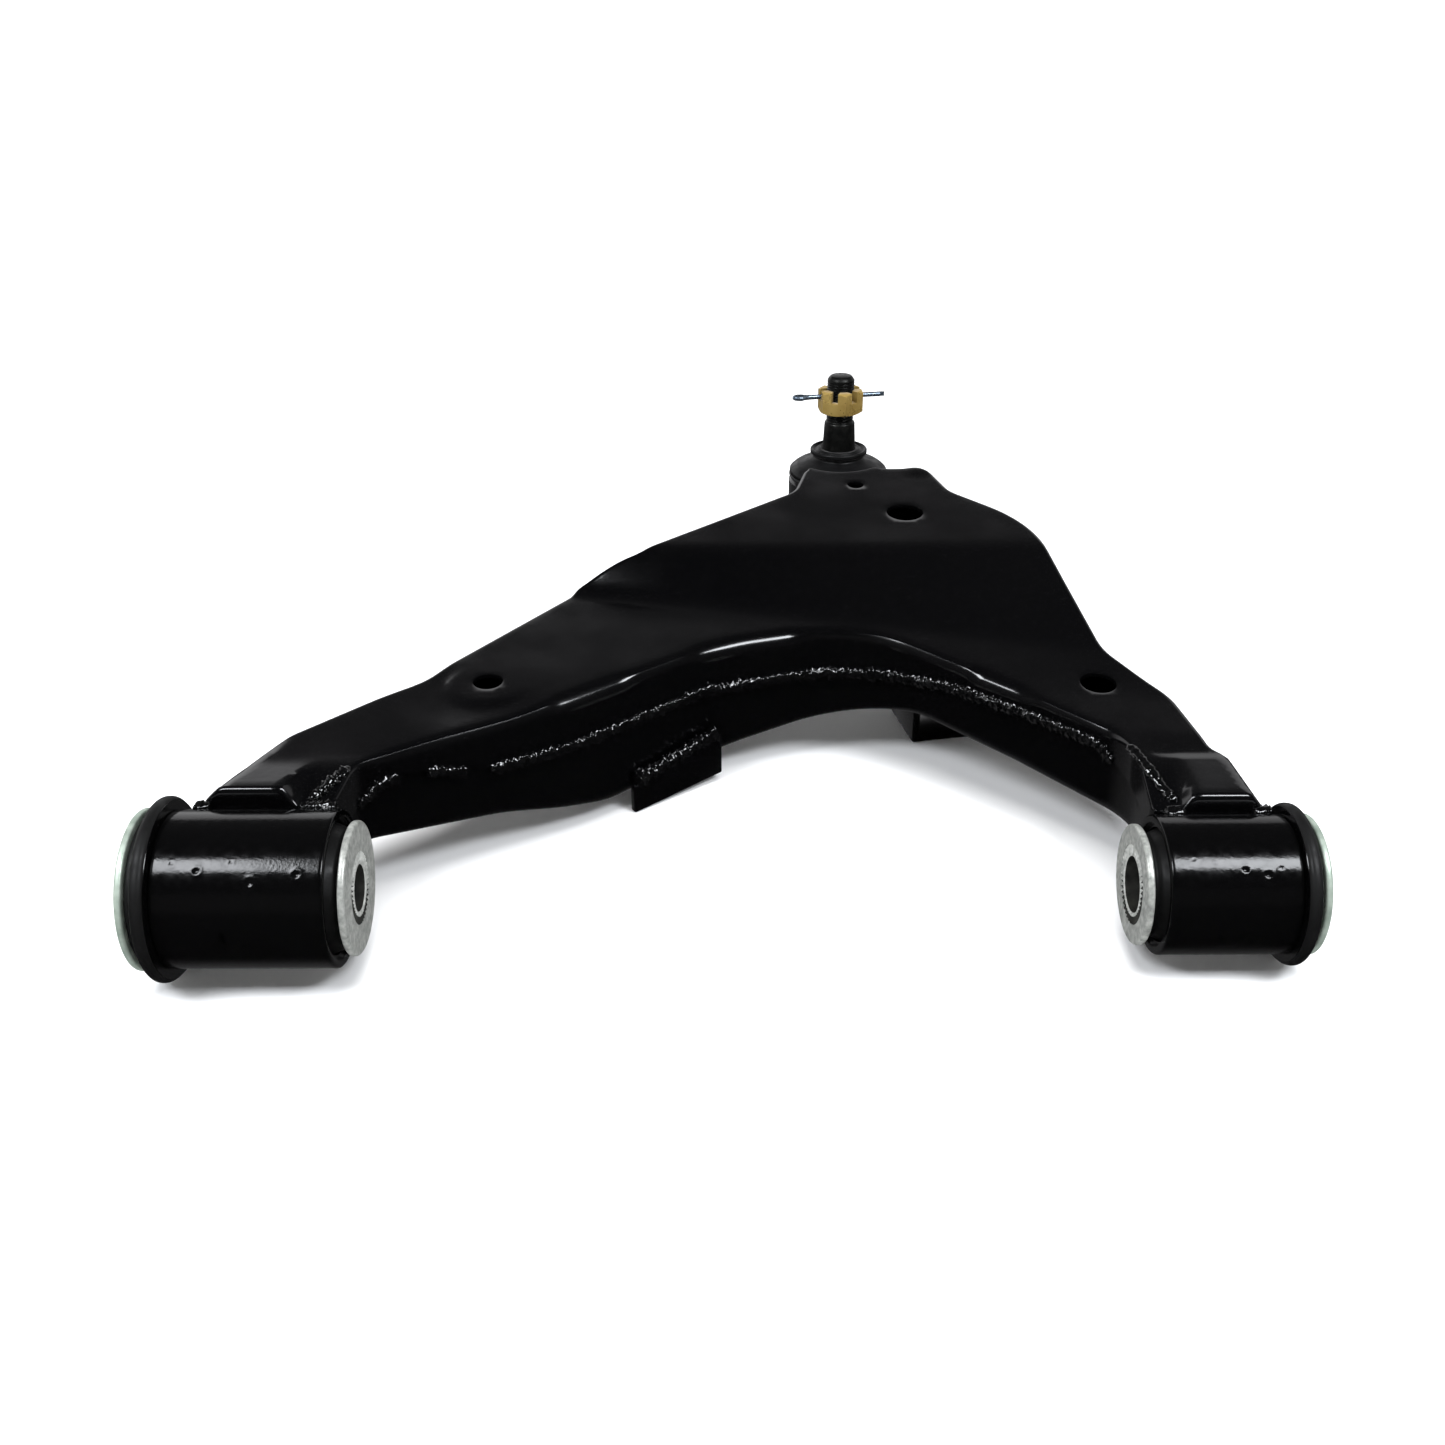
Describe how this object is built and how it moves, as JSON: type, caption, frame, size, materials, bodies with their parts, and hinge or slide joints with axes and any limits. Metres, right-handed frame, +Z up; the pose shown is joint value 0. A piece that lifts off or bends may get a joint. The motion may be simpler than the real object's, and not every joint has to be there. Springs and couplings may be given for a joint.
{
  "type": "suspension control arm",
  "caption": "Pressed steel A-shaped lower control arm with two rubber bushings on one axis and a ball joint with tapered stud and castle nut.",
  "frame": {"origin": "centre of the big bushing's bore", "axes": "+X along the bushing axis towards the small bushing, +Y outboard to the ball joint, +Z up along the stud"},
  "size_m": [0.4899, 0.4138, 0.1612],
  "materials": {
    "rubber": "matte moulded rubber",
    "zinc_steel": "pale zinc plate, dull",
    "core_steel": "zinc plate, serrated ends",
    "yellow_zinc": "yellow chromate zinc plate",
    "pin_zinc": "bluish zinc plate",
    "stud_steel": "black phosphate, machined taper",
    "seat_polymer": "acetal liner",
    "spring_steel": "blackened spring steel",
    "painted_weld": "glossy black paint over weld bead",
    "forged_black": "satin black over forged steel",
    "sleeve_steel": "black coated steel",
    "black_paint": "satin black dip paint over pressed steel"
  },
  "bodies": {
    "arm": {"upper_shell": "black_paint", "lower_shell": "black_paint", "arch_seam_weld": "painted_weld", "outside_seam_weld": "painted_weld", "wall_bracket": "black_paint", "wall_bracket_weld": "painted_weld", "underside_bracket": "black_paint", "big_tube_weld": "painted_weld", "small_tube_weld": "painted_weld", "ball_joint_socket": "forged_black", "ball_joint_housing": "forged_black", "ball_joint_cover": "forged_black", "retaining_ring": "spring_steel", "bearing_seat": "seat_polymer", "boot_clamp_ring": "spring_steel", "dust_boot": "rubber", "big_bush_tube": "black_paint", "big_bush_outer_sleeve": "sleeve_steel", "big_bush_rubber": "rubber", "small_bush_tube": "black_paint", "small_bush_outer_sleeve": "sleeve_steel", "small_bush_rubber": "rubber"},
    "boot_top": {"boot_top_ring": "rubber"},
    "stud": {"ball_stud": "stud_steel", "castle_nut": "yellow_zinc", "cotter_pin": "pin_zinc"},
    "big_core": {"big_bush_core": "core_steel", "big_bush_inboard_washer": "zinc_steel", "big_bush_outboard_washer": "zinc_steel"},
    "small_core": {"small_bush_core": "core_steel", "small_bush_inboard_washer": "zinc_steel", "small_bush_outboard_washer": "zinc_steel"}
  },
  "joints": [
    {"name": "stud_tilt", "type": "hinge", "parent": "arm", "child": "boot_top", "pos_m": [0.2705, 0.345, 0.044], "axis": [1, 0, 0], "range_deg": [-18, 18], "deforming": ["dust_boot"]},
    {"name": "stud_spin", "type": "hinge", "parent": "boot_top", "child": "stud", "pos_m": [0.2705, 0.345, 0.044], "axis": [0, 0, 1], "range_deg": [-40, 40]},
    {"name": "big_bush_twist", "type": "hinge", "parent": "arm", "child": "big_core", "pos_m": [0, 0, 0], "axis": [1, 0, 0], "range_deg": [-25, 25], "stiffness_Nm_per_rad": 40},
    {"name": "small_bush_twist", "type": "hinge", "parent": "arm", "child": "small_core", "pos_m": [0.41, 0, 0], "axis": [1, 0, 0], "range_deg": [-25, 25], "stiffness_Nm_per_rad": 30}
  ]
}
